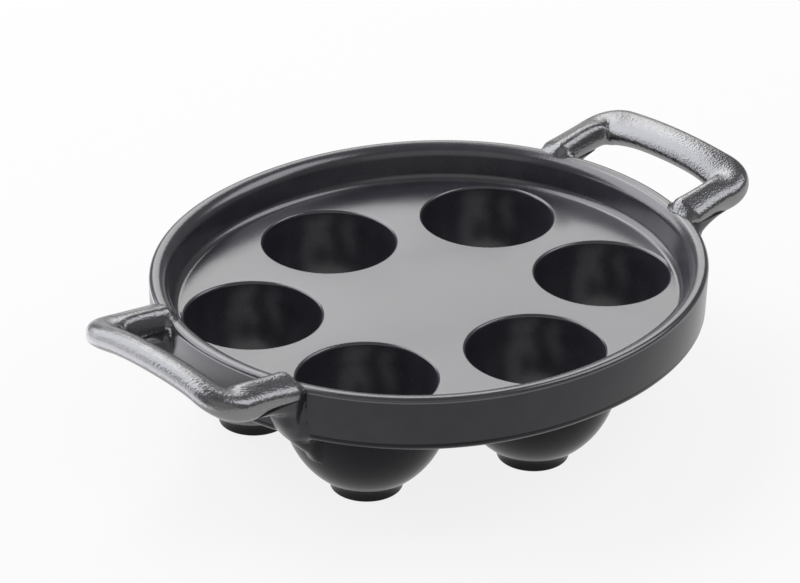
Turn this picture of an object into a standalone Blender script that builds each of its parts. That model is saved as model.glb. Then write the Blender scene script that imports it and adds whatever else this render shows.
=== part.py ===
"""Escargot pan: an oval cast-iron tray in black enamel, with six snail cups and two loop handles.

Units are metres and +Z is up. X runs along the handles and Y across the pan. The origin is the
middle of the plane that the six feet stand on.
"""

import math

import bmesh
import bpy
import numpy as np

# The seam between two neighbouring pieces
SEAM = 0.0003

# Wells and cups
WELL_DIAMETER = 0.0350
WELL_LIP_RADIUS = 0.0008
CUP_WALL = 0.0037
CUP_HEIGHT = 0.0207
CUP_BASE_THICKNESS = 0.0018
CUP_BASE_DIAMETER = 0.0187
BOWL_FLAT_DIAMETER = 0.0060

# Where the six wells lie: two at each end, one at the middle of each long side
END_PAIR_SPACE = 0.0005
ROW_SPACE = 0.0019
ROW_ANGLE = math.radians(22.8)

# Feet
FOOT_DIAMETER = 0.0176
FOOT_HEIGHT = 0.0026
FOOT_EDGE_RADIUS = 0.0006

# Tray: floor and raised rim
FLOOR_THICKNESS = 0.0053
FLOOR_MARGIN_AT_ENDS = 0.0131
FLOOR_MARGIN_AT_SIDES = 0.0104
OUTLINE_EXPONENT = 2.06
RIM_HEIGHT = 0.0091
RIM_WIDTH = 0.0044
RIM_OUTER_RADIUS = 0.0011
RIM_INNER_RADIUS = 0.0034
OUTER_WALL_TAPER = 0.0004
LOWER_EDGE_RADIUS = 0.0025
INNER_WALL_SLOPE = 0.0014
FLOOR_FILLET_RADIUS = 0.0022

# Handles: each is a bowed bar on two arms
ARM_SPACING = 0.0460
HANDLE_REACH = 0.0193
BAR_BOW = 0.0003
CORNER_LENGTH = 0.0039
ARM_DROP_BELOW_RIM = 0.0017
ARM_RISE = 0.0037
BAR_ARCH = 0.0016
BAR_WIDTH = 0.0090
BAR_THICKNESS = 0.0061
BAR_TILT = math.radians(35.0)
CORNER_SWELL = 0.0007
CORNER_DROP = 0.0009
ARM_ROOT_WIDTH = 0.0102
ARM_ROOT_HEIGHT = 0.0072
ARM_NOSE_LENGTH = 0.0060
ARM_OVERLAP = 0.0036
SECTION_EXPONENT = 2.8
# Share of the nose where its blunt tip starts
NOSE_TIP_SHARE = 0.02
# Shares of the handle's reach: where the thick arm root ends, and where the corner swells and how widely
ROOT_BLEND = 0.81
CORNER_PLACE = 1.07
CORNER_SPREAD = 0.35

# Gussets: each flares under its arm, is steepest at the knee and runs down onto the cup behind it
GUSSET_WIDTH = 0.0074
GUSSET_REACH = 0.0046
GUSSET_FLARE = 0.0083
GUSSET_KNEE_HEIGHT = 0.0030
GUSSET_DEPTH_BELOW_FLOOR = 0.0136
GUSSET_FOOT_INSET = 0.0080
GUSSET_CURVE_POWER = 1.5
GUSSET_SECTION_EXPONENT = 3.0

# Facets
OUTLINE_STEPS = 76
ROUND_STEPS = 36
ARC_STEPS = 3
OUTSIDE_STEPS = 6
INSIDE_STEPS = 5
SECTION_STEPS = 16
HANDLE_STEPS = 32
PLAN_STEPS = 20
GUSSET_STEPS = 10

# Sizes that follow from the ones above
CUP_BORE_RADIUS = WELL_DIAMETER / 2 - WELL_LIP_RADIUS
CUP_RADIUS = CUP_BORE_RADIUS + CUP_WALL
CUP_BASE_Z = FOOT_HEIGHT + SEAM
CUP_TOP_Z = CUP_BASE_Z + CUP_HEIGHT
FLOOR_UNDERSIDE_Z = CUP_TOP_Z + SEAM
FLOOR_Z = FLOOR_UNDERSIDE_Z + FLOOR_THICKNESS
RIM_TOP_Z = FLOOR_Z + RIM_HEIGHT
END_ROW_Y = CUP_RADIUS + END_PAIR_SPACE / 2
ROW_STEP = 2 * CUP_RADIUS + ROW_SPACE
END_ROW_X = ROW_STEP * math.cos(ROW_ANGLE)
MIDDLE_ROW_Y = END_ROW_Y + ROW_STEP * math.sin(ROW_ANGLE)
TRAY_HALF_LENGTH = END_ROW_X + WELL_DIAMETER / 2 + FLOOR_MARGIN_AT_ENDS
TRAY_HALF_WIDTH = MIDDLE_ROW_Y + WELL_DIAMETER / 2 + FLOOR_MARGIN_AT_SIDES
ARM_Y = ARM_SPACING / 2
ARM_ROOT_SHARE = 1 - (ARM_Y / TRAY_HALF_WIDTH) ** OUTLINE_EXPONENT
ARM_ROOT_X = TRAY_HALF_LENGTH * ARM_ROOT_SHARE ** (1 / OUTLINE_EXPONENT)
ARM_ROOT_Z = RIM_TOP_Z - ARM_DROP_BELOW_RIM
BAR_X = ARM_ROOT_X + HANDLE_REACH
KNEE_Z = FLOOR_Z + GUSSET_KNEE_HEIGHT
GUSSET_FOOT_Z = FLOOR_Z - GUSSET_DEPTH_BELOW_FLOOR


def clear_scene():
    for scene_object in list(bpy.data.objects):
        bpy.data.objects.remove(scene_object, do_unlink=True)


def enamel(name, colour, roughness):
    """Glossy enamel: a non-metallic surface over the iron."""
    material = bpy.data.materials.new(name)
    material.use_nodes = True
    shader = material.node_tree.nodes["Principled BSDF"]
    shader.inputs["Base Color"].default_value = (*colour, 1.0)
    shader.inputs["Roughness"].default_value = roughness
    shader.inputs["Metallic"].default_value = 0.0
    material.diffuse_color = (*colour, 1.0)
    return material


def tray_enamel():
    return enamel("tray_enamel", (0.030, 0.031, 0.036), 0.22)


def cup_enamel():
    return enamel("cup_enamel", (0.018, 0.018, 0.021), 0.28)


def foot_enamel():
    return enamel("foot_enamel", (0.016, 0.016, 0.018), 0.40)


def handle_enamel():
    return enamel("handle_enamel", (0.028, 0.029, 0.034), 0.26)


def add_loft(bm, rings):
    """Skin closed rings of equal point counts with quads, and cap the first and the last."""
    loops = [[bm.verts.new(point) for point in ring] for ring in rings]
    for lower, upper in zip(loops, loops[1:]):
        for i in range(len(lower)):
            j = (i + 1) % len(lower)
            bm.faces.new((lower[i], lower[j], upper[j], upper[i]))
    bm.faces.new(loops[0])
    bm.faces.new(loops[-1])


def mesh_object(name, bm, material):
    """Turn a bmesh into a smooth-shaded object whose faces point outward."""
    bmesh.ops.recalc_face_normals(bm, faces=bm.faces)
    mesh = bpy.data.meshes.new(name)
    bm.to_mesh(mesh)
    bm.free()
    mesh.materials.append(material)
    mesh.shade_smooth()
    mesh.set_sharp_from_angle(angle=math.radians(40.0))
    piece = bpy.data.objects.new(name, mesh)
    bpy.context.scene.collection.objects.link(piece)
    return piece


def shape_for_boolean(name, bm):
    """A helper solid that cuts or joins another and is not itself a piece."""
    shape = mesh_object(name, bm, enamel(name, (0.5, 0.5, 0.5), 0.5))
    shape.hide_render = True
    shape.display_type = "WIRE"
    return shape


def add_boolean(piece, operation, shape):
    modifier = piece.modifiers.new(operation.lower() + "_" + shape.name, "BOOLEAN")
    modifier.operation = operation
    modifier.solver = "EXACT"
    modifier.object = shape


def rounded_corner(before, corner, after, radius):
    """Points of the arc of the given radius that is tangent to both sides of a corner."""
    before, corner, after = (np.array(point, dtype=float) for point in (before, corner, after))
    to_before = (before - corner) / np.linalg.norm(before - corner)
    to_after = (after - corner) / np.linalg.norm(after - corner)
    half_angle = math.acos(np.clip(to_before @ to_after, -1.0, 1.0)) / 2
    bisector = (to_before + to_after) / np.linalg.norm(to_before + to_after)
    centre = corner + bisector * radius / math.sin(half_angle)
    start = corner + to_before * radius / math.tan(half_angle) - centre
    end = corner + to_after * radius / math.tan(half_angle) - centre
    swing = math.pi - 2 * half_angle
    arc = []
    for step in range(ARC_STEPS + 1):
        share = step / ARC_STEPS
        spoke = math.sin((1 - share) * swing) * start + math.sin(share * swing) * end
        arc.append(centre + spoke / math.sin(swing))
    return arc


def rim_profile(clearance):
    """Half section of the tray as (inset from the outline, height), from underside to floor.

    With a clearance the section is grown by it all round, for cutting what seats on the rim.
    """
    underside = FLOOR_UNDERSIDE_Z - clearance
    floor = FLOOR_Z + clearance
    top = RIM_TOP_Z + clearance
    lower_edge = (OUTER_WALL_TAPER - clearance, underside)
    outer_edge = (-clearance, top)
    inner_edge = (RIM_WIDTH + clearance, top)
    floor_corner = (RIM_WIDTH + INNER_WALL_SLOPE + clearance, floor)
    fillet_end = floor_corner[0] + 2 * FLOOR_FILLET_RADIUS
    points = [(fillet_end, underside)]
    points += rounded_corner(points[0], lower_edge, outer_edge, LOWER_EDGE_RADIUS)
    points += rounded_corner(lower_edge, outer_edge, inner_edge, RIM_OUTER_RADIUS + clearance)
    points += rounded_corner(outer_edge, inner_edge, floor_corner, RIM_INNER_RADIUS + clearance)
    points += rounded_corner(inner_edge, floor_corner, (fillet_end, floor), FLOOR_FILLET_RADIUS)
    return points


def outline_ring(inset, height):
    """The tray's superelliptic outline, moved inward along its own normal."""
    ring = []
    for step in range(OUTLINE_STEPS):
        turn = 2 * math.pi * step / OUTLINE_STEPS
        share_x = math.copysign(abs(math.cos(turn)) ** (2 / OUTLINE_EXPONENT), math.cos(turn))
        share_y = math.copysign(abs(math.sin(turn)) ** (2 / OUTLINE_EXPONENT), math.sin(turn))
        slope_x = math.copysign(abs(share_x) ** (OUTLINE_EXPONENT - 1), share_x) / TRAY_HALF_LENGTH
        slope_y = math.copysign(abs(share_y) ** (OUTLINE_EXPONENT - 1), share_y) / TRAY_HALF_WIDTH
        steepness = math.hypot(slope_x, slope_y)
        x = TRAY_HALF_LENGTH * share_x - inset * slope_x / steepness
        y = TRAY_HALF_WIDTH * share_y - inset * slope_y / steepness
        ring.append((x, y, height))
    return ring


def circle(centre, radius, height):
    ring = []
    for step in range(ROUND_STEPS):
        turn = 2 * math.pi * step / ROUND_STEPS
        ring.append((centre[0] + radius * math.cos(turn), centre[1] + radius * math.sin(turn), height))
    return ring


def well_centres():
    """Counter-clockwise from the right-hand end."""
    return [
        (END_ROW_X, END_ROW_Y),
        (0.0, MIDDLE_ROW_Y),
        (-END_ROW_X, END_ROW_Y),
        (-END_ROW_X, -END_ROW_Y),
        (0.0, -MIDDLE_ROW_Y),
        (END_ROW_X, -END_ROW_Y),
    ]


def well_cutter():
    """Six round holes through the floor, each with a rounded lip at its mouth."""
    bm = bmesh.new()
    for centre in well_centres():
        lip = []
        for step in range(ARC_STEPS + 1):
            angle = math.pi / 2 * step / ARC_STEPS
            radius = CUP_BORE_RADIUS + WELL_LIP_RADIUS * (1 - math.sin(angle))
            height = FLOOR_Z - WELL_LIP_RADIUS * (1 - math.cos(angle))
            lip.append((radius, height))
        # The first facet runs on above the floor, so that the cut meets the floor at the lip's edge
        above = (3 * lip[0][0] - 2 * lip[1][0], 3 * lip[0][1] - 2 * lip[1][1])
        below = (CUP_BORE_RADIUS, FLOOR_UNDERSIDE_Z - FLOOR_THICKNESS)
        profile = [above] + lip[1:] + [below]
        add_loft(bm, [circle(centre, radius, height) for radius, height in profile])
    return shape_for_boolean("well_cutter", bm)


def build_tray():
    """Oval floor with its raised rim in one swept skin, pierced by the six wells."""
    bm = bmesh.new()
    add_loft(bm, [outline_ring(inset, height) for inset, height in rim_profile(0.0)])
    tray = mesh_object("pan_tray", bm, tray_enamel())
    add_boolean(tray, "DIFFERENCE", well_cutter())
    return tray


def bowl_curve(top_radius, end_radius, depth, steps):
    """Quarter-ellipse bowl side: radii and depths from the mouth down to a flat of end_radius."""
    end_angle = math.acos(end_radius / top_radius)
    curve = []
    for step in range(steps + 1):
        angle = end_angle * step / steps
        curve.append((top_radius * math.cos(angle), depth * math.sin(angle) / math.sin(end_angle)))
    return curve


def build_cup(number, centre, material):
    """A closed round bowl that hangs under the floor and carries the well's bore downward."""
    outside = bowl_curve(CUP_RADIUS, CUP_BASE_DIAMETER / 2, CUP_HEIGHT, OUTSIDE_STEPS)
    inner_depth = CUP_HEIGHT - CUP_BASE_THICKNESS
    inside = bowl_curve(CUP_BORE_RADIUS, BOWL_FLAT_DIAMETER / 2, inner_depth, INSIDE_STEPS)
    profile = list(reversed(outside)) + inside
    bm = bmesh.new()
    add_loft(bm, [circle(centre, radius, CUP_TOP_Z - depth) for radius, depth in profile])
    return mesh_object("cup_%d" % number, bm, material)


def build_foot(number, centre, material):
    """A short round foot with a softened lower edge."""
    radius = FOOT_DIAMETER / 2
    profile = [(radius, FOOT_HEIGHT)]
    for step in range(ARC_STEPS):
        angle = math.pi / 2 * step / (ARC_STEPS - 1)
        edge = FOOT_EDGE_RADIUS * (1 - math.cos(angle))
        profile.append((radius - edge, FOOT_EDGE_RADIUS * (1 - math.sin(angle))))
    bm = bmesh.new()
    add_loft(bm, [circle(centre, ring_radius, height) for ring_radius, height in profile])
    return mesh_object("foot_%d" % number, bm, material)


def handle_plan():
    """Centre line seen from above: arm, cut corner, bowed bar, and the same again mirrored."""
    nose = np.array([ARM_ROOT_X - ARM_OVERLAP, ARM_Y])
    corner = np.array([BAR_X, ARM_Y])

    def bar(share):
        y = ARM_Y * (1 - share)
        return np.stack([BAR_X + BAR_BOW * (1 - (y / ARM_Y) ** 2), y], axis=-1)

    bend_start = corner - np.array([CORNER_LENGTH, 0.0])
    bend_share = CORNER_LENGTH / ARM_Y
    bend_end = bar(np.array(bend_share))
    along = np.linspace(0.0, 1.0, PLAN_STEPS)[:, None]
    arm = nose + (bend_start - nose) * along
    bend = (1 - along) ** 2 * bend_start + 2 * along * (1 - along) * corner + along ** 2 * bend_end
    half = np.vstack([arm, bend[1:], bar(np.linspace(bend_share, 1.0, PLAN_STEPS)[1:])])
    return np.vstack([half * (1, -1), half[-2::-1]])


def near_corner(x, y):
    """1 at the handle's corner, fading as a bell curve along the arm and the bar."""
    reach = (x - ARM_ROOT_X) / HANDLE_REACH
    away = (np.abs(y) / ARM_Y - CORNER_PLACE) ** 2 + (reach - CORNER_PLACE) ** 2
    return np.exp(-away / (2 * CORNER_SPREAD ** 2))


def handle_centre_line():
    """The plan curve at even steps, lifted: up along the arms, arched over the bar and low at the corners."""
    plan = handle_plan()
    length = np.concatenate([[0.0], np.cumsum(np.linalg.norm(np.diff(plan, axis=0), axis=1))])
    even = np.linspace(0.0, length[-1], HANDLE_STEPS + 1)
    x = np.interp(even, length, plan[:, 0])
    y = np.interp(even, length, plan[:, 1])
    outward = (x - ARM_ROOT_X) / HANDLE_REACH
    arch = BAR_ARCH * (1 - np.clip(np.abs(y) / ARM_Y, 0, 1) ** 2) * np.clip(outward, 0, 1)
    z = ARM_ROOT_Z + ARM_RISE * outward + arch - CORNER_DROP * near_corner(x, y)
    return np.stack([x, y, z], axis=1)


def superellipse(exponent):
    """Unit section points, rounder as the exponent nears 2 and squarer above it."""
    turns = np.linspace(0, 2 * math.pi, SECTION_STEPS, endpoint=False)
    share_x = np.sign(np.cos(turns)) * np.abs(np.cos(turns)) ** (2 / exponent)
    share_y = np.sign(np.sin(turns)) * np.abs(np.sin(turns)) ** (2 / exponent)
    return share_x, share_y


def handle_widths(centres):
    """Width and height of the section at each centre: thick at the root, wider at the corner."""
    reach = (centres[:, 0] - ARM_ROOT_X) / HANDLE_REACH
    rootward = np.clip(1 - reach / ROOT_BLEND, 0, 1) ** 2
    into_nose = (centres[:, 0] - ARM_ROOT_X + ARM_OVERLAP) / ARM_NOSE_LENGTH
    nose = np.sqrt(1 - (1 - np.clip(into_nose, NOSE_TIP_SHARE, 1)) ** 2)
    swell = CORNER_SWELL * near_corner(centres[:, 0], centres[:, 1])
    width = BAR_WIDTH + rootward * (ARM_ROOT_WIDTH - BAR_WIDTH) + swell
    height = BAR_THICKNESS + rootward * (ARM_ROOT_HEIGHT - BAR_THICKNESS)
    return nose * width, nose * height


def handle_sections(side):
    """Superelliptic sections square to the centre line, flat on the arms and tilted on the bar."""
    centres = handle_centre_line()
    tangents = np.gradient(centres, axis=0)
    tangents /= np.linalg.norm(tangents, axis=1)[:, None]
    outward = np.cross(tangents, (0.0, 0.0, 1.0))
    outward /= np.linalg.norm(outward, axis=1)[:, None]
    upward = np.cross(outward, tangents)
    tilt = BAR_TILT * np.abs(tangents[:, 1])
    across = outward * np.cos(tilt)[:, None] + upward * np.sin(tilt)[:, None]
    over = upward * np.cos(tilt)[:, None] - outward * np.sin(tilt)[:, None]
    widths, heights = handle_widths(centres)
    share_across, share_over = superellipse(SECTION_EXPONENT)
    rings = []
    for i, centre in enumerate(centres):
        sideways = np.outer(share_across * widths[i] / 2, across[i])
        upright = np.outer(share_over * heights[i] / 2, over[i])
        rings.append((centre + sideways + upright) * (side, side, 1))
    return rings


def gusset_edges(height):
    """Inner and outer edge of the gusset at a height. Under the floor the inner edge moves in to the cup."""
    above = max(0.0, (height - KNEE_Z) / (ARM_ROOT_Z - KNEE_Z))
    below = max(0.0, (KNEE_Z - height) / (KNEE_Z - GUSSET_FOOT_Z))
    drawn_in = (GUSSET_REACH + GUSSET_FOOT_INSET) * below ** GUSSET_CURVE_POWER
    outer_x = ARM_ROOT_X + GUSSET_REACH + GUSSET_FLARE * above ** 2 - drawn_in
    through_floor = min(1.0, max(0.0, (FLOOR_Z - height) / FLOOR_THICKNESS))
    wall_x = ARM_ROOT_X - ARM_OVERLAP
    cup_x = END_ROW_X + CUP_BORE_RADIUS
    return wall_x + (cup_x - wall_x) * through_floor, outer_x


def gusset_rings(side, arm_side):
    """Level slices of the web under one arm, from inside the arm down to the side of the cup."""
    share_x, share_y = superellipse(GUSSET_SECTION_EXPONENT)
    rings = []
    for height in np.linspace(ARM_ROOT_Z, GUSSET_FOOT_Z, GUSSET_STEPS):
        inner_x, outer_x = gusset_edges(height)
        x = (inner_x + outer_x) / 2 + share_x * (outer_x - inner_x) / 2
        y = arm_side * ARM_Y + share_y * GUSSET_WIDTH / 2
        rings.append(np.stack([side * x, side * y, np.full_like(x, height)], axis=1))
    return rings


def gusset_shape(name, side):
    bm = bmesh.new()
    for arm_side in (-1, 1):
        add_loft(bm, gusset_rings(side, arm_side))
    return shape_for_boolean(name, bm)


def rim_cutter():
    """The rim grown by the seam, which shapes the seat of each handle."""
    bm = bmesh.new()
    add_loft(bm, [outline_ring(inset, height) for inset, height in rim_profile(SEAM)])
    return shape_for_boolean("rim_cutter", bm)


def cup_cutter():
    """The cups grown by the seam, which shape the ends of the gussets."""
    outside = bowl_curve(CUP_RADIUS + SEAM, CUP_BASE_DIAMETER / 2 + SEAM, CUP_HEIGHT, OUTSIDE_STEPS)
    profile = [(CUP_RADIUS + SEAM, -SEAM)] + outside
    bm = bmesh.new()
    for centre in well_centres():
        add_loft(bm, [circle(centre, radius, CUP_TOP_Z - depth) for radius, depth in profile])
    return shape_for_boolean("cup_cutter", bm)


def build_handle(name, side, seats, material):
    """One loop handle with its two gussets, seated over the crest, against the outer wall and on two cups."""
    bm = bmesh.new()
    add_loft(bm, handle_sections(side))
    handle = mesh_object(name, bm, material)
    add_boolean(handle, "UNION", gusset_shape(name + "_gussets", side))
    for seat in seats:
        add_boolean(handle, "DIFFERENCE", seat)
    return handle


def build_pan():
    clear_scene()
    build_tray()
    cup_material = cup_enamel()
    foot_material = foot_enamel()
    for number, centre in enumerate(well_centres(), start=1):
        build_cup(number, centre, cup_material)
        build_foot(number, centre, foot_material)
    seats = [rim_cutter(), cup_cutter()]
    handle_material = handle_enamel()
    build_handle("handle_right", 1, seats, handle_material)
    build_handle("handle_left", -1, seats, handle_material)


build_pan()
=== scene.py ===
"""Looks of the escargot pan: one black enamelled casting with six snail cups and two loop handles.

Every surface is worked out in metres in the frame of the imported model: X runs through both handles,
Y runs across the pan, Z points up, and the feet stand on Z = 0.
"""

import math

import bmesh
import bpy
import numpy as np
from mathutils import Matrix, Vector


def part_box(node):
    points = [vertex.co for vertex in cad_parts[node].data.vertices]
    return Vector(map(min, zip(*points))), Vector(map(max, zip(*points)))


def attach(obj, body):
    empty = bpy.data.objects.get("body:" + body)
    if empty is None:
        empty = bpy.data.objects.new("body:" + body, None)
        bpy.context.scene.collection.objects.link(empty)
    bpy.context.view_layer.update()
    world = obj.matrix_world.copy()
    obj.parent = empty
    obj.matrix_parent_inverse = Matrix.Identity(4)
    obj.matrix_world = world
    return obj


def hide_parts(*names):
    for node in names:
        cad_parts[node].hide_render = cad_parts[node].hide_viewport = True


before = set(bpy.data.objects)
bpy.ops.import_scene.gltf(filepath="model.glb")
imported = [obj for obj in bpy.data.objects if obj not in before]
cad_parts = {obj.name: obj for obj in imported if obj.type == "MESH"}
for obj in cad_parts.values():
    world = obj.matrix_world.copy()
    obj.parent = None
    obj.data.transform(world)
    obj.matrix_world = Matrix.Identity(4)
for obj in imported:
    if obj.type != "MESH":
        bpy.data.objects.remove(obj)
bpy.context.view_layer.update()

# The camera, fitted to the rim, the floor and the wells in the photograph
IMAGE_WIDTH, IMAGE_HEIGHT = 800, 583
SENSOR_WIDTH_MM = 36.0
LENS_MM = 166.5
CAMERA_DISTANCE = 0.9088
CAMERA_ELEVATION = math.radians(28.40)
CAMERA_AZIMUTH = math.radians(42.73)
CAMERA_ROLL = math.radians(-0.46)
CAMERA_CLIP_START = 0.01
PAN_CENTRE_PIXEL = (429.56, 293.45)

# Tray
OUTLINE_EXPONENT = 2.06
RIM_HEIGHT = 0.0091
RIM_WIDTH = 0.0044
RIM_OUTER_RADIUS = 0.0011
RIM_INNER_RADIUS = 0.0034
OUTER_WALL_TAPER = 0.0004
LOWER_EDGE_RADIUS = 0.0025
INNER_WALL_SLOPE = 0.0014
FLOOR_FILLET_RADIUS = 0.0022

# Wells, cups and feet
CUP_NUMBERS = range(1, 7)
WELL_RADIUS = 0.0175
WELL_LIP_RADIUS = 0.0008
CUP_BASE_THICKNESS = 0.0018
FOOT_EDGE_RADIUS = 0.0006
FOOT_CHAMFER_WIDTH = 0.0003
FOOT_CHAMFER_HEIGHT = 0.00045
# Radii of the rings on a foot's flat base, as shares of its own radius
BASE_RING_SHARES = (0.8, 0.4)

# Centre line of a handle
ARM_Y = 0.0230
HANDLE_REACH = 0.0191
BAR_BOW = 0.0003
CORNER_LENGTH = 0.0060
ARM_DROP_BELOW_RIM = 0.0017
ARM_RISE = 0.0037
BAR_ARCH = 0.0016
CORNER_DROP = 0.0009
ARM_OVERLAP = 0.0022

# Section of a handle
BAR_WIDTH = 0.0092
BAR_THICKNESS = 0.0061
BAR_TILT = math.radians(33.0)
BAR_SECTION_EXPONENT = 2.3
ARM_WIDTH = 0.0080
ARM_HEIGHT = 0.0070
ARM_TILT = math.radians(-20.0)
ARM_SECTION_EXPONENT = 3.0
ARM_ROOT_WIDTH = 0.0096
ARM_ROOT_HEIGHT = 0.0079
ARM_NOSE_LENGTH = 0.0036
CORNER_SWELL = 0.0022
TWIST_LENGTH = 0.0110
ARM_FILLET_RADIUS = 0.0016
# Share of the nose where its blunt tip starts
NOSE_TIP_SHARE = 0.02
# Shares of the handle's reach: where the thick root ends, where the corner swells, and how widely
ROOT_BLEND = 0.81
CORNER_PLACE = 1.07
CORNER_SPREAD = 0.27

# Gussets
GUSSET_WIDTH = 0.0074
GUSSET_REACH = 0.0046
GUSSET_FLARE = 0.0083
GUSSET_KNEE_HEIGHT = 0.0030
GUSSET_DEPTH_BELOW_FLOOR = 0.0136
GUSSET_FOOT_INSET = 0.0080
GUSSET_CURVE_POWER = 1.5
GUSSET_SECTION_EXPONENT = 2.6
GUSSET_TAPER = 0.75
GUSSET_FILLET_RADIUS = 0.0019
# How far a fillet runs into the body that it meets
SEAM_BITE = 0.00003
# Depths inside that body between which a fillet fades out, as shares of the fillet's radius
FADE_START = 0.25
FADE_END = 0.75

# How finely the surfaces are cut
OUTLINE_STEPS = 360
ROUND_STEPS = 120
ARC_STEPS = 10
BOWL_STEPS = 30
PLAN_STEPS = 400
HANDLE_STEPS = 260
SECTION_STEPS = 72
GUSSET_STEPS = 60
FILLET_HALVINGS = 24

# Points this close are one point, heights this close are one height, and no divisor is smaller
WELD_DISTANCE = 1e-7
SAME_HEIGHT = 1e-6
LEAST_DIVISOR = 1e-6

# Numbers of a piece's materials: its own for the top, the outer wall's and the underside's
TOP, OUTER, UNDER = 0, 1, 2

# Mottle of the enamel: how fine it is, the part of the noise that it uses, and the shares that this gives
MOTTLE_SCALE = 160.0
MOTTLE_DETAIL = 3.0
TINT_NOISE = (0.35, 0.70)
TINT_SHARES = (0.85, 1.15)
ROUGHNESS_NOISE = (0.3, 0.7)
ROUGHNESS_SHARES = (0.95, 1.05)
# Detail of the noise that its orange peel is made from
PEEL_DETAIL = 2.0

# The sheet under the feet
SHEET_SIZE = 6.0
PAPER_TONE = 0.82
PAPER_ROUGHNESS = 0.9
EVEN_WHITE_SHARE = 0.85

# Lamps. Their radiance is what the gloss shows, and 1 is white
PLAIN = (1.0, 1.0, 1.0)
COOL = (0.97, 0.98, 1.04)
WORLD_LEVEL = 0.22
LYING_PANEL_HEIGHT = 0.002
# Name, elevation, turn, distance, width, height, radiance and tint of each lamp that faces the pan
SOFTBOXES = (
    ("back_panel", 32, -1.5, 1.4, 0.60, 0.50, 2.5, PLAIN),
    ("back_left_panel", 46, -22, 1.4, 0.60, 0.60, 2.7, PLAIN),
    ("back_sweep", 5, 0, 1.4, 1.50, 0.26, 0.6, PLAIN),
    ("left_panel", 40, -68, 1.3, 1.20, 1.45, 2.65, COOL),
    ("right_panel", 48, 79, 1.3, 0.70, 0.85, 2.4, COOL),
    ("left_low_strip", 4, -85, 1.3, 1.20, 0.26, 2.4, COOL),
    ("front_fill", 30, 180, 1.5, 2.40, 1.20, 0.28, PLAIN),
)

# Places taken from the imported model
tray_low, tray_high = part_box("pan_tray")
FLOOR_UNDERSIDE_Z = tray_low[2]
RIM_TOP_Z = tray_high[2]
FLOOR_Z = RIM_TOP_Z - RIM_HEIGHT
cup_low, cup_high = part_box("cup_1")
CUP_RADIUS = (cup_high[0] - cup_low[0]) / 2
CUP_BASE_Z = cup_low[2]
CUP_BORE_RADIUS = WELL_RADIUS - WELL_LIP_RADIUS
foot_low, foot_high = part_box("foot_1")
FOOT_RADIUS = (foot_high[0] - foot_low[0]) / 2
CUP_END_ANGLE = math.acos((FOOT_RADIUS + FOOT_CHAMFER_WIDTH) / CUP_RADIUS)
CUP_DEPTH = (FLOOR_UNDERSIDE_Z - CUP_BASE_Z) / math.sin(CUP_END_ANGLE)

# Places of the handles that follow from them
ARM_ROOT_SHARE = 1 - (ARM_Y / tray_high[1]) ** OUTLINE_EXPONENT
ARM_ROOT_X = tray_high[0] * ARM_ROOT_SHARE ** (1 / OUTLINE_EXPONENT)
ARM_ROOT_Z = RIM_TOP_Z - ARM_DROP_BELOW_RIM
BAR_X = ARM_ROOT_X + HANDLE_REACH
KNEE_Z = FLOOR_Z + GUSSET_KNEE_HEIGHT
SHOULDER_INSET = RIM_WIDTH - RIM_INNER_RADIUS / math.tan(math.atan2(RIM_HEIGHT, -INNER_WALL_SLOPE) / 2)
GUSSET_FOOT_Z = FLOOR_Z - GUSSET_DEPTH_BELOW_FLOOR


def well_centres():
    """The middle of each cup's box."""
    centres = []
    for number in CUP_NUMBERS:
        low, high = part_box("cup_%d" % number)
        centres.append(((low[0] + high[0]) / 2, (low[1] + high[1]) / 2))
    return centres


WELL_CENTRES = well_centres()


def unit(vectors):
    """Each vector over its own length."""
    return vectors / np.linalg.norm(vectors, axis=-1, keepdims=True)


def signed_power(values, exponent):
    """The size of each value raised to the exponent, with the value's own sign."""
    return np.sign(values) * np.abs(values) ** exponent


def rounded_corner(before, corner, after, radius):
    """Arc tangent to both sides of a corner.

    Its two end spokes are mixed by the sines of their share of the swing.
    """
    before, corner, after = (np.array(point, dtype=float) for point in (before, corner, after))
    to_before = unit(before - corner)
    to_after = unit(after - corner)
    half_angle = math.acos(to_before @ to_after) / 2
    centre = corner + unit(to_before + to_after) * radius / math.sin(half_angle)
    start = corner + to_before * radius / math.tan(half_angle) - centre
    end = corner + to_after * radius / math.tan(half_angle) - centre
    swing = math.pi - 2 * half_angle
    share = np.linspace(0, 1, ARC_STEPS + 1)[:, None]
    return centre + (np.sin((1 - share) * swing) * start + np.sin(share * swing) * end) / math.sin(swing)


def rim_profile():
    """Half section of the tray: rows of (inset from the widest line, height).

    Straight sides are joined by tangent arcs.
    """
    lower_edge = (OUTER_WALL_TAPER, FLOOR_UNDERSIDE_Z)
    outer_edge = (0.0, RIM_TOP_Z)
    inner_edge = (RIM_WIDTH, RIM_TOP_Z)
    floor_corner = (RIM_WIDTH + INNER_WALL_SLOPE, FLOOR_Z)
    fillet_end = floor_corner[0] + 2 * FLOOR_FILLET_RADIUS
    under = rounded_corner((fillet_end, FLOOR_UNDERSIDE_Z), lower_edge, outer_edge, LOWER_EDGE_RADIUS)
    outside = rounded_corner(lower_edge, outer_edge, inner_edge, RIM_OUTER_RADIUS)
    inside = rounded_corner(outer_edge, inner_edge, floor_corner, RIM_INNER_RADIUS)
    fillet = rounded_corner(inner_edge, floor_corner, (fillet_end, FLOOR_Z), FLOOR_FILLET_RADIUS)
    profile = np.vstack([under, outside, inside, fillet])
    profile[:, 0] -= profile[:, 0].min()
    return profile


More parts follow.
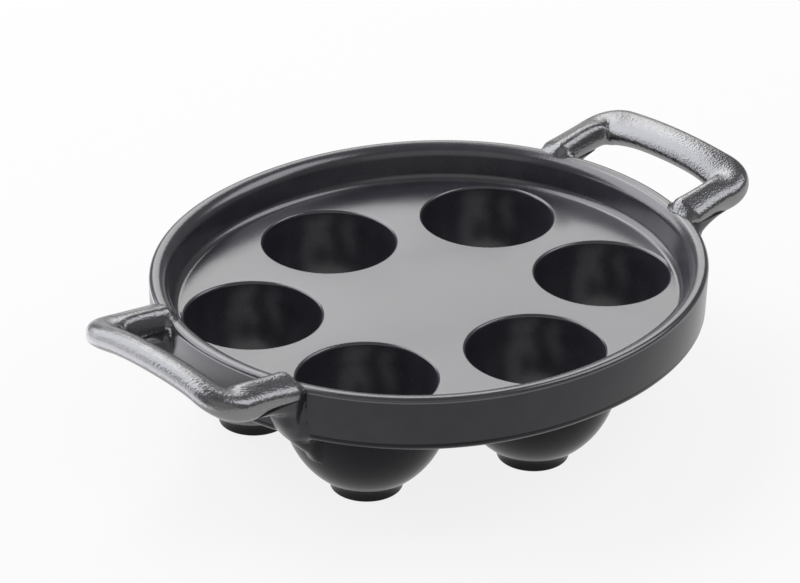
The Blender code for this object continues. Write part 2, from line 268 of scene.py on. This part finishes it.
def outline():
    """Superellipse |x/a|^n + |y/b|^n = 1: points, and unit normals along its gradient."""
    turns = np.linspace(0, 2 * math.pi, OUTLINE_STEPS, endpoint=False)
    share_x = signed_power(np.cos(turns), 2 / OUTLINE_EXPONENT)
    share_y = signed_power(np.sin(turns), 2 / OUTLINE_EXPONENT)
    slope_x = signed_power(share_x, OUTLINE_EXPONENT - 1) / tray_high[0]
    slope_y = signed_power(share_y, OUTLINE_EXPONENT - 1) / tray_high[1]
    points = np.stack([tray_high[0] * share_x, tray_high[1] * share_y], axis=1)
    return points, unit(np.stack([slope_x, slope_y], axis=1))


def swept_rim(profile):
    """Grid over (profile, turn): each profile point stands its inset inside the outline, at its height."""
    points, normals = outline()
    plan = points[None] - profile[:, :1, None] * normals[None]
    heights = np.broadcast_to(profile[:, 1][:, None, None], plan.shape[:2] + (1,))
    return np.concatenate([plan, heights], axis=2)


def revolved(profile, centre):
    """Grid over (profile, turn): rows of (radius, height) turned about an upright axis."""
    turns = np.linspace(0, 2 * math.pi, ROUND_STEPS, endpoint=False)
    x = centre[0] + profile[:, :1] * np.cos(turns)
    y = centre[1] + profile[:, :1] * np.sin(turns)
    return np.stack([x, y, np.broadcast_to(profile[:, 1:], x.shape)], axis=2)


def bowl_inside():
    """A quarter arc for the lip, then a quarter ellipse.

    The ellipse's radius falls as the cosine of the turn, and its depth grows as the sine.
    """
    angle = np.linspace(math.pi / 2, 0, ARC_STEPS + 1)
    lip_radius = CUP_BORE_RADIUS + WELL_LIP_RADIUS * (1 - np.cos(angle))
    lip_height = FLOOR_Z - WELL_LIP_RADIUS * (1 - np.sin(angle))
    lip = np.stack([lip_radius, lip_height], axis=1)
    turn = np.linspace(0, math.pi / 2, BOWL_STEPS + 1)[:-1]
    depth = FLOOR_UNDERSIDE_Z - CUP_BASE_Z - CUP_BASE_THICKNESS
    bowl = np.stack([CUP_BORE_RADIUS * np.cos(turn), FLOOR_UNDERSIDE_Z - depth * np.sin(turn)], axis=1)
    return np.vstack([lip, bowl])


def cup_outside():
    """A quarter ellipse cut off at the foot, a small chamfer, then the foot.

    The foot has a straight side, a quarter arc for its edge and a flat base.
    """
    turn = np.linspace(0, CUP_END_ANGLE, BOWL_STEPS)
    bowl = np.stack([CUP_RADIUS * np.cos(turn), FLOOR_UNDERSIDE_Z - CUP_DEPTH * np.sin(turn)], axis=1)
    side_top = (FOOT_RADIUS, CUP_BASE_Z - FOOT_CHAMFER_HEIGHT)
    angle = np.linspace(0, math.pi / 2, ARC_STEPS + 1)
    edge_radius = FOOT_RADIUS - FOOT_EDGE_RADIUS * (1 - np.cos(angle))
    edge = np.stack([edge_radius, FOOT_EDGE_RADIUS * (1 - np.sin(angle))], axis=1)
    base = np.array([[FOOT_RADIUS * share, 0.0] for share in BASE_RING_SHARES])
    return np.vstack([bowl, [side_top], edge, base])


class Skin:
    """Collects point grids and joins them into one mesh."""

    def __init__(self):
        self.points = []
        self.faces = []
        self.finishes = []
        self.count = 0

    def add(self, grid, finish, pole):
        """Quads between neighbouring rows, closed round each row. A fan to the pole closes the last row.

        The finish is the number of the material, one for the whole grid or one for each band of quads.
        """
        rows, columns = grid.shape[:2]
        index = self.count + np.arange(rows * columns).reshape(rows, columns)
        beside = np.roll(index, -1, axis=1)
        quads = np.stack([index[:-1], beside[:-1], beside[1:], index[1:]], axis=-1).reshape(-1, 4)
        self.add_part(grid.reshape(-1, 3), quads)
        finish = np.broadcast_to(finish, max(rows - 1, 1))
        self.finishes.append(np.repeat(finish[:rows - 1], columns))
        if pole is not None:
            fan = np.stack([index[-1], beside[-1], np.full(columns, self.count)], axis=-1)
            self.add_part(np.array([pole], dtype=float), fan)
            self.finishes.append(np.repeat(finish[-1:], columns))

    def add_part(self, points, faces):
        """Points and faces behind those that are there already."""
        self.points.append(points)
        self.faces.extend(faces.tolist())
        self.count += len(points)

    def mesh(self, name):
        """One mesh of all the parts."""
        mesh = bpy.data.meshes.new(name)
        mesh.from_pydata(np.vstack(self.points).tolist(), [], self.faces)
        mesh.polygons.foreach_set("material_index", np.concatenate(self.finishes).astype(np.int32))
        return mesh


def finish_piece(mesh, name, materials, flats=()):
    """Weld the seams, fill the flat plates between open rings, turn the faces outward and shade smooth.

    The flats are rows of (height, number of the material) of the plates.
    """
    bm = bmesh.new()
    bm.from_mesh(mesh)
    bmesh.ops.remove_doubles(bm, verts=bm.verts, dist=WELD_DISTANCE)
    for height, finish in flats:
        edges = [e for e in bm.edges if e.is_boundary and abs(e.verts[0].co.z - height) < SAME_HEIGHT]
        plate = bmesh.ops.triangle_fill(bm, edges=edges, use_beauty=True, use_dissolve=False)
        for face in [item for item in plate["geom"] if isinstance(item, bmesh.types.BMFace)]:
            face.material_index = finish
    bmesh.ops.recalc_face_normals(bm, faces=bm.faces)
    bm.to_mesh(mesh)
    bm.free()
    for material in materials:
        mesh.materials.append(material)
    mesh.shade_smooth()
    piece = bpy.data.objects.new(name, mesh)
    bpy.context.scene.collection.objects.link(piece)
    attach(piece, "root")
    return piece


def make_casting(serving, outer, under):
    """Rim, floor, wells, cups and feet in one closed skin.

    The serving side has the full gloss, the outer wall a low one and the underside the least. Their tints are
    lit and shaded copies of one enamel: the serving side lighter as painted fill light, the underside darker
    as painted shade.
    """
    skin = Skin()
    rim = rim_profile()
    # The underside band takes the darker tint of painted shade, and the top band the lighter tint of painted
    # fill light.
    bands = np.repeat([UNDER, OUTER, TOP], [ARC_STEPS, 1, len(rim) - ARC_STEPS - 2])
    skin.add(swept_rim(rim), bands, pole=None)
    inside = bowl_inside()
    outside = cup_outside()
    for centre in WELL_CENTRES:
        skin.add(revolved(inside, centre), TOP, pole=(*centre, CUP_BASE_Z + CUP_BASE_THICKNESS))
        skin.add(revolved(outside, centre), UNDER, pole=(*centre, 0.0))
    plates = ((FLOOR_Z, TOP), (FLOOR_UNDERSIDE_Z, UNDER))
    casting = finish_piece(skin.mesh("casting"), "casting", (serving, outer, under), plates)
    cups = ["cup_%d" % number for number in CUP_NUMBERS]
    feet = ["foot_%d" % number for number in CUP_NUMBERS]
    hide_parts("pan_tray", *cups, *feet)


def near_corner(x, y):
    """Bell curve exp(-d^2 / 2s^2) of the distance d from the handle's corner.

    The distance is in shares of the reach and of the arm's Y.
    """
    reach = (x - ARM_ROOT_X) / HANDLE_REACH
    away = (np.abs(y) / ARM_Y - CORNER_PLACE) ** 2 + (reach - CORNER_PLACE) ** 2
    return np.exp(-away / (2 * CORNER_SPREAD ** 2))


def bar_plan(share):
    """A point of the bar seen from above, from the arm's line at 0 to the middle at 1.

    It bows outward as 1 - (y/Y)^2.
    """
    y = ARM_Y * (1 - share)
    return np.stack([BAR_X + BAR_BOW * (1 - (y / ARM_Y) ** 2), y], axis=-1)


def handle_centre_line():
    """Arm, corner cut off by a parabola, and bar, mirrored about the middle and cut into even steps.

    The height climbs evenly along the arm, arches over the bar as 1 - (y/Y)^2 and dips at the corner.
    """
    nose = np.array([ARM_ROOT_X - ARM_OVERLAP, ARM_Y])
    corner = np.array([BAR_X, ARM_Y])
    bend_start = corner - np.array([CORNER_LENGTH, 0.0])
    bend_share = CORNER_LENGTH / ARM_Y
    bend_end = bar_plan(np.array(bend_share))
    along = np.linspace(0.0, 1.0, PLAN_STEPS)[:, None]
    arm = nose + (bend_start - nose) * along
    bend = (1 - along) ** 2 * bend_start + 2 * along * (1 - along) * corner + along ** 2 * bend_end
    half = np.vstack([arm, bend[1:], bar_plan(np.linspace(bend_share, 1.0, PLAN_STEPS)[1:])])
    plan = np.vstack([half * (1, -1), half[-2::-1]])
    length = np.concatenate([[0.0], np.cumsum(np.linalg.norm(np.diff(plan, axis=0), axis=1))])
    even = np.linspace(0.0, length[-1], HANDLE_STEPS + 1)
    x = np.interp(even, length, plan[:, 0])
    y = np.interp(even, length, plan[:, 1])
    outward = (x - ARM_ROOT_X) / HANDLE_REACH
    arch = BAR_ARCH * (1 - np.clip(np.abs(y) / ARM_Y, 0, 1) ** 2) * np.clip(outward, 0, 1)
    z = ARM_ROOT_Z + ARM_RISE * outward + arch - CORNER_DROP * near_corner(x, y)
    return np.stack([x, y, z], axis=1)


def arm_sizes(x, y, barward):
    """Width and height of the handle's section at a centre point: the arm's at barward 0, the bar's at 1.

    The root's extra falls off as the square of the share of its blend that is left. The swell at the
    corner is a bell curve, and the nose closes as a quarter ellipse.
    """
    reach = (x - ARM_ROOT_X) / HANDLE_REACH
    rootward = np.clip(1 - reach / ROOT_BLEND, 0, 1) ** 2
    into_nose = (x - ARM_ROOT_X + ARM_OVERLAP) / ARM_NOSE_LENGTH
    nose = np.sqrt(1 - (1 - np.clip(into_nose, NOSE_TIP_SHARE, 1)) ** 2)
    width = ARM_WIDTH + rootward * (ARM_ROOT_WIDTH - ARM_WIDTH) + barward * (BAR_WIDTH - ARM_WIDTH)
    width = width + CORNER_SWELL * near_corner(x, y)
    height = ARM_HEIGHT + rootward * (ARM_ROOT_HEIGHT - ARM_HEIGHT) + barward * (BAR_THICKNESS - ARM_HEIGHT)
    return nose * width, nose * height


def section(exponent):
    """Unit superellipse |u|^n + |v|^n = 1 and its outward normals, one row for each exponent n."""
    turns = np.linspace(0, 2 * math.pi, SECTION_STEPS, endpoint=False)[None]
    u = signed_power(np.cos(turns), 2 / exponent)
    v = signed_power(np.sin(turns), 2 / exponent)
    return u, v, signed_power(u, exponent - 1), signed_power(v, exponent - 1)


def outside_corner(across, down, radius):
    """Distance from a right-angled corner rounded to a radius, given the depths behind its two faces.

    Past the arc's centre both ways it is the distance from that centre, less the radius. Elsewhere it is
    the distance from the nearer face.
    """
    across, down = radius - across, radius - down
    beyond = np.hypot(np.maximum(across, 0), np.maximum(down, 0))
    return beyond + np.minimum(np.maximum(across, down), 0) - radius


def wall_distance(points):
    """Distance outside the rim: the largest of those from its outer edge, its foot and its inner shoulder.

    The inset is the outline's superelliptic value, less one, over its slope.
    """
    a, b = tray_high[0], tray_high[1]
    n = OUTLINE_EXPONENT
    x, y, z = np.abs(points[..., 0]), np.abs(points[..., 1]), points[..., 2]
    value = ((x / a) ** n + (y / b) ** n) ** (1 / n)
    slope = np.hypot(x ** (n - 1) / a ** n, y ** (n - 1) / b ** n) * value ** (1 - n)
    depth = RIM_TOP_Z - z
    height = z - FLOOR_UNDERSIDE_Z
    wall_height = RIM_TOP_Z - FLOOR_UNDERSIDE_Z
    inset = (1 - value) / slope - OUTER_WALL_TAPER * np.clip(depth / wall_height, 0, 1)
    outer_edge = outside_corner(inset, depth, RIM_OUTER_RADIUS)
    foot = outside_corner(inset, height, LOWER_EDGE_RADIUS)
    shoulder = outside_corner(SHOULDER_INSET + RIM_INNER_RADIUS - inset, depth, RIM_INNER_RADIUS)
    shoulder = np.where(z < FLOOR_Z, outer_edge, shoulder)
    return np.maximum(np.maximum(outer_edge, foot), shoulder)


def arm_distance(points):
    """Distance outside the straight arm: its section's superelliptic value, less one, over its slope."""
    x, y, z = points[..., 0], np.abs(points[..., 1]), points[..., 2]
    width, height = arm_sizes(x, np.full_like(x, ARM_Y), 0.0)
    middle = ARM_ROOT_Z + ARM_RISE * (x - ARM_ROOT_X) / HANDLE_REACH - CORNER_DROP * near_corner(x, y)
    n = ARM_SECTION_EXPONENT
    a, b = width / 2, height / 2
    out, up = y - ARM_Y, z - middle
    u = np.abs(out * math.cos(ARM_TILT) + up * math.sin(ARM_TILT))
    v = np.abs(up * math.cos(ARM_TILT) - out * math.sin(ARM_TILT))
    value = ((u / a) ** n + (v / b) ** n) ** (1 / n)
    slope = np.hypot(u ** (n - 1) / a ** n, v ** (n - 1) / b ** n)
    slope = slope * np.maximum(value, LEAST_DIVISOR) ** (1 - n)
    return (value - 1) / np.maximum(slope, LEAST_DIVISOR)


def cup_distance(points):
    """Distance outside the nearest end cup: its bowl's elliptic value, less one, over its slope."""
    x, y, z = np.abs(points[..., 0]), np.abs(points[..., 1]), points[..., 2]
    centre_x, centre_y = WELL_CENTRES[0]
    across = np.hypot(x - centre_x, y - centre_y)
    down = np.maximum(FLOOR_UNDERSIDE_Z - z, 0)
    value = np.hypot(across / CUP_RADIUS, down / CUP_DEPTH)
    slope = np.hypot(across / CUP_RADIUS ** 2, down / CUP_DEPTH ** 2) / value
    return (value - 1) / slope


def flared(points, normals, radius, neighbours):
    """Push points out along their normals onto fillets of one radius against the neighbouring bodies.

    On the fillet the shortfalls of all distances from the radius, squared, add up to the radius squared.
    The push is found by halving the range from nothing to one radius. Inside a neighbour it fades out
    evenly between two depths.
    """
    low = np.zeros(points.shape[:-1])
    high = np.full(points.shape[:-1], radius)
    for halving in range(FILLET_HALVINGS):
        push = (low + high) / 2
        moved = points + push[..., None] * normals
        shortfall = np.maximum(radius - push, 0) ** 2
        for distance in neighbours:
            shortfall = shortfall + np.clip(radius - distance(moved) - SEAM_BITE, 0, radius) ** 2
        inside = shortfall > radius ** 2
        low = np.where(inside, push, low)
        high = np.where(inside, high, push)
    moved = points + high[..., None] * normals
    nearest = np.min([distance(moved) for distance in neighbours], axis=0)
    fade = np.clip((FADE_END + nearest / radius) / (FADE_END - FADE_START), 0, 1)
    return points + (fade * high)[..., None] * normals


def handle_grid():
    """Grid over (length, turn): superelliptic sections square to the centre line, flared at the wall.

    Tilt and section change with the sideways share of the tangent, averaged by a raised cosine of one length.
    """
    centres = handle_centre_line()
    tangents = unit(np.gradient(centres, axis=0))
    outward = unit(np.cross(tangents, (0.0, 0.0, 1.0)))
    upward = np.cross(outward, tangents)
    step = np.linalg.norm(centres[1] - centres[0])
    reach = round(TWIST_LENGTH / 2 / step)
    window = np.hanning(2 * reach + 3)[1:-1]
    barward = np.convolve(np.pad(np.abs(tangents[:, 1]), reach, "edge"), window / window.sum(), "valid")
    tilt = (ARM_TILT + (BAR_TILT - ARM_TILT) * barward)[:, None]
    across = outward * np.cos(tilt) + upward * np.sin(tilt)
    over = upward * np.cos(tilt) - outward * np.sin(tilt)
    width, height = arm_sizes(centres[:, 0], centres[:, 1], barward)
    half_width, half_height = width[:, None, None] / 2, height[:, None, None] / 2
    exponent = ARM_SECTION_EXPONENT + (BAR_SECTION_EXPONENT - ARM_SECTION_EXPONENT) * barward
    u, v, slope_u, slope_v = (values[..., None] for values in section(exponent[:, None]))
    points = centres[:, None] + across[:, None] * u * half_width + over[:, None] * v * half_height
    normals = unit(across[:, None] * slope_u / half_width + over[:, None] * slope_v / half_height)
    return flared(points, normals, ARM_FILLET_RADIUS, (wall_distance,))


def gusset_grid(arm_side):
    """Grid over (height, turn) of level slices.

    The reach grows as the square of the height above the knee and shrinks as a power of the depth below
    it, so that the web flares under the arm and runs down onto the cup. Its width shrinks as the square
    of that depth.
    """
    heights = np.linspace(ARM_ROOT_Z, GUSSET_FOOT_Z, GUSSET_STEPS)
    above = np.maximum(heights - KNEE_Z, 0) / (ARM_ROOT_Z - KNEE_Z)
    below = np.maximum(KNEE_Z - heights, 0) / (KNEE_Z - GUSSET_FOOT_Z)
    drawn_in = (GUSSET_REACH + GUSSET_FOOT_INSET) * below ** GUSSET_CURVE_POWER
    outer_x = ARM_ROOT_X + GUSSET_REACH + GUSSET_FLARE * above ** 2 - drawn_in
    through_floor = np.clip((FLOOR_Z - heights) / (FLOOR_Z - FLOOR_UNDERSIDE_Z), 0, 1)
    wall_x = ARM_ROOT_X - ARM_OVERLAP
    inner_x = wall_x + (WELL_CENTRES[0][0] + CUP_BORE_RADIUS - wall_x) * through_floor
    half_reach = ((outer_x - inner_x) / 2)[:, None]
    u, v, slope_u, slope_v = section(GUSSET_SECTION_EXPONENT)
    x = ((inner_x + outer_x) / 2)[:, None] + u * half_reach
    half_width = (GUSSET_WIDTH / 2 * (1 - GUSSET_TAPER * below ** 2))[:, None]
    y = arm_side * ARM_Y + v * half_width
    points = np.stack([x, y, np.broadcast_to(heights[:, None], x.shape)], axis=2)
    along_height = np.gradient(points, axis=0)
    along_turn = np.roll(points, -1, axis=1) - np.roll(points, 1, axis=1)
    normals = unit(np.cross(along_height, along_turn))
    level = unit(np.stack([slope_u / half_reach, slope_v / half_width, 0 * x], axis=2))
    normals *= np.sign(np.sum(normals * level, axis=2, keepdims=True))
    return flared(points, normals, GUSSET_FILLET_RADIUS, (wall_distance, arm_distance, cup_distance))


def make_handle(name, side, loop, outer, under):
    """One loop handle with the gussets under its arms. Side -1 turns it by half a turn, for the left."""
    half_turn = np.array([side, side, 1.0])
    skin = Skin()
    # Below the tray's underside the gussets take the underside enamel, whose darker tint is painted shade.
    gussets = [(gusset_grid(arm_side), OUTER, UNDER) for arm_side in (-1, 1)]
    for grid, high_finish, low_finish in [(handle_grid(), TOP, TOP)] + gussets:
        grid = grid * half_turn
        bands = np.where(grid[1:, 0, 2] > FLOOR_UNDERSIDE_Z, high_finish, low_finish)
        skin.add(grid, bands, pole=grid[-1].mean(axis=0))
        skin.add(grid[:1][:, ::-1], high_finish, pole=grid[0].mean(axis=0))
    handle = finish_piece(skin.mesh(name), name, (loop, outer, under))
    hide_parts(name.replace("loop", "handle"))


def enamel(name, tint, index, gloss, roughness, grain, pebble):
    """Black enamel: a mottled near-black base under a clear gloss, with a fine orange-peel pebble."""
    material = bpy.data.materials.new(name)
    material.use_nodes = True
    nodes = material.node_tree.nodes
    links = material.node_tree.links
    shader = nodes["Principled BSDF"]
    place = nodes.new("ShaderNodeTexCoord")

    def noise(scale, detail):
        """A noise on the piece's own coordinates."""
        texture = nodes.new("ShaderNodeTexNoise")
        texture.inputs["Scale"].default_value = scale
        texture.inputs["Detail"].default_value = detail
        links.new(place.outputs["Object"], texture.inputs["Vector"])
        return texture.outputs["Fac"]

    mottle = noise(MOTTLE_SCALE, MOTTLE_DETAIL)
    colour = nodes.new("ShaderNodeValToRGB")
    for element, level, share in zip(colour.color_ramp.elements, TINT_NOISE, TINT_SHARES):
        element.position = level
        element.color = (*(share * value for value in tint), 1)
    links.new(mottle, colour.inputs["Fac"])
    links.new(colour.outputs["Color"], shader.inputs["Base Color"])
    shine = nodes.new("ShaderNodeMapRange")
    for end, level, share in zip(("Min", "Max"), ROUGHNESS_NOISE, ROUGHNESS_SHARES):
        shine.inputs["From " + end].default_value = level
        shine.inputs["To " + end].default_value = roughness * share
    links.new(mottle, shine.inputs["Value"])
    links.new(shine.outputs["Result"], shader.inputs["Roughness"])
    bump = nodes.new("ShaderNodeBump")
    bump.inputs["Distance"].default_value = pebble
    bump.inputs["Strength"].default_value = 1.0
    links.new(noise(grain, PEEL_DETAIL), bump.inputs["Height"])
    links.new(bump.outputs["Normal"], shader.inputs["Normal"])
    shader.inputs["IOR"].default_value = index
    shader.inputs["Specular IOR Level"].default_value = gloss
    return material


def add_floor():
    """A white sheet under the feet that keeps the pan's shadow.

    To the camera and in the gloss it is part lit paper and part even white.
    """
    bpy.ops.mesh.primitive_plane_add(size=SHEET_SIZE, location=(0, 0, 0))
    sheet = bpy.context.object
    sheet.name = "floor_sheet"
    material = bpy.data.materials.new("white_sheet")
    material.use_nodes = True
    nodes = material.node_tree.nodes
    links = material.node_tree.links
    paper = nodes["Principled BSDF"]
    paper.inputs["Base Color"].default_value = (PAPER_TONE, PAPER_TONE, PAPER_TONE, 1)
    paper.inputs["Roughness"].default_value = PAPER_ROUGHNESS
    paper.inputs["Specular IOR Level"].default_value = 0.0
    even_white = nodes.new("ShaderNodeEmission")
    even_white.inputs["Color"].default_value = (1, 1, 1, 1)
    even_white.inputs["Strength"].default_value = 1.0
    rays = nodes.new("ShaderNodeLightPath")
    seen = rays.outputs["Is Camera Ray"]
    for kind in ("Is Glossy Ray", "Is Transmission Ray"):
        either = nodes.new("ShaderNodeMath")
        either.operation = "MAXIMUM"
        links.new(seen, either.inputs[0])
        links.new(rays.outputs[kind], either.inputs[1])
        seen = either.outputs["Value"]
    share = nodes.new("ShaderNodeMapRange")
    share.inputs["To Max"].default_value = EVEN_WHITE_SHARE
    links.new(seen, share.inputs["Value"])
    both = nodes.new("ShaderNodeMixShader")
    links.new(share.outputs["Result"], both.inputs["Fac"])
    links.new(paper.outputs["BSDF"], both.inputs[1])
    links.new(even_white.outputs["Emission"], both.inputs[2])
    links.new(both.outputs["Shader"], nodes["Material Output"].inputs["Surface"])
    sheet.data.materials.append(material)


def camera_axes():
    """Right, up and forward of the camera: set by its azimuth and elevation, then turned by its roll."""
    ce, se = math.cos(CAMERA_ELEVATION), math.sin(CAMERA_ELEVATION)
    right = np.array([math.cos(CAMERA_AZIMUTH), -math.sin(CAMERA_AZIMUTH), 0.0])
    away = np.array([math.sin(CAMERA_AZIMUTH), math.cos(CAMERA_AZIMUTH), 0.0])
    up = away * se + np.array([0, 0, ce])
    forward = away * ce - np.array([0, 0, se])
    cr, sr = math.cos(CAMERA_ROLL), math.sin(CAMERA_ROLL)
    return cr * right - sr * up, sr * right + cr * up, forward


def add_camera():
    """The camera sees the middle of the tray's floor at its pixel, from the fitted distance and angles."""
    right, up, forward = camera_axes()
    focal = LENS_MM / SENSOR_WIDTH_MM * IMAGE_WIDTH
    x = (PAN_CENTRE_PIXEL[0] - IMAGE_WIDTH / 2) / focal * CAMERA_DISTANCE
    y = -(PAN_CENTRE_PIXEL[1] - IMAGE_HEIGHT / 2) / focal * CAMERA_DISTANCE
    place = np.array([0, 0, FLOOR_Z]) - x * right - y * up - CAMERA_DISTANCE * forward
    data = bpy.data.cameras.new("camera")
    data.sensor_width = SENSOR_WIDTH_MM
    data.sensor_fit = "HORIZONTAL"
    data.lens = LENS_MM
    data.clip_start = CAMERA_CLIP_START
    camera = bpy.data.objects.new("camera", data)
    bpy.context.scene.collection.objects.link(camera)
    matrix = np.eye(4)
    matrix[:3] = np.column_stack([right, up, -forward, place])
    camera.matrix_world = Matrix(matrix.tolist())
    bpy.context.scene.camera = camera


def area_lamp(name, width, height, radiance, tint):
    """A rectangular lamp that the camera doesn't see. Its power is radiance times pi times its area."""
    data = bpy.data.lights.new(name, "AREA")
    data.shape = "RECTANGLE"
    data.size = width
    data.size_y = height
    data.energy = radiance * math.pi * width * height
    data.color = tint
    lamp = bpy.data.objects.new(name, data)
    bpy.context.scene.collection.objects.link(lamp)
    lamp.visible_camera = False
    return lamp


def add_softbox(name, elevation, turn, distance, width, height, radiance, tint):
    """A lamp that faces the pan. Elevation and turn are degrees seen from the pan.

    Turn 0 is straight behind the pan, and 90 is to the camera's right.
    """
    lift = math.radians(elevation)
    heading = CAMERA_AZIMUTH + math.radians(turn)
    level = math.cos(lift)
    direction = np.array([level * math.sin(heading), level * math.cos(heading), math.sin(lift)])
    lamp = area_lamp(name, width, height, radiance, tint)
    lamp.location = Vector(direction * distance)
    lamp.rotation_euler = Vector(-direction).to_track_quat("-Z", "Y").to_euler()


def add_lying_panel(name, turn, distance, width, depth, radiance, tint):
    """A lamp that lies on the sheet beside the pan and shines straight up. Turn is as for a softbox."""
    heading = CAMERA_AZIMUTH + math.radians(turn)
    lamp = area_lamp(name, width, depth, radiance, tint)
    lamp.location = (distance * math.sin(heading), distance * math.cos(heading), LYING_PANEL_HEIGHT)
    lamp.rotation_euler = (math.pi, 0.0, math.pi / 2 - heading)


def add_world():
    """Even white light from all sides."""
    world = bpy.data.worlds.new("studio")
    world.use_nodes = True
    background = world.node_tree.nodes["Background"]
    background.inputs["Color"].default_value = (1, 1, 1, 1)
    background.inputs["Strength"].default_value = WORLD_LEVEL
    bpy.context.scene.world = world


# The serving side's tint is lighter than the outer wall's: painted fill light on the tray's floor, inner wall
# and wells.
serving_enamel_painted_fill = enamel(
    "serving_enamel_painted_fill", tint=(0.036, 0.034, 0.043), index=1.9, gloss=0.50,
    roughness=0.22, grain=900.0, pebble=0.000012)
outer_enamel = enamel(
    "outer_enamel", tint=(0.018, 0.017, 0.022), index=1.9, gloss=0.18,
    roughness=0.22, grain=900.0, pebble=0.000012)
# The underside's tint is darker than the outer wall's: painted shade under the pan, on the cups, the feet and
# the gussets' lower parts.
under_enamel_painted_shade = enamel(
    "under_enamel_painted_shade", tint=(0.011, 0.010, 0.013), index=1.9, gloss=0.06,
    roughness=0.22, grain=900.0, pebble=0.000012)
loop_enamel = enamel(
    "loop_enamel", tint=(0.022, 0.021, 0.027), index=2.6, gloss=0.50,
    roughness=0.22, grain=1700.0, pebble=0.00012)
make_casting(serving_enamel_painted_fill, outer_enamel, under_enamel_painted_shade)
make_handle("loop_right", 1, loop_enamel, outer_enamel, under_enamel_painted_shade)
make_handle("loop_left", -1, loop_enamel, outer_enamel, under_enamel_painted_shade)
add_floor()
add_camera()
for softbox in SOFTBOXES:
    add_softbox(*softbox)
add_lying_panel("left_table_glow", turn=-90, distance=0.20, width=0.20, depth=0.34, radiance=1.6, tint=COOL)
add_world()
bpy.context.scene.view_settings.view_transform = "Standard"
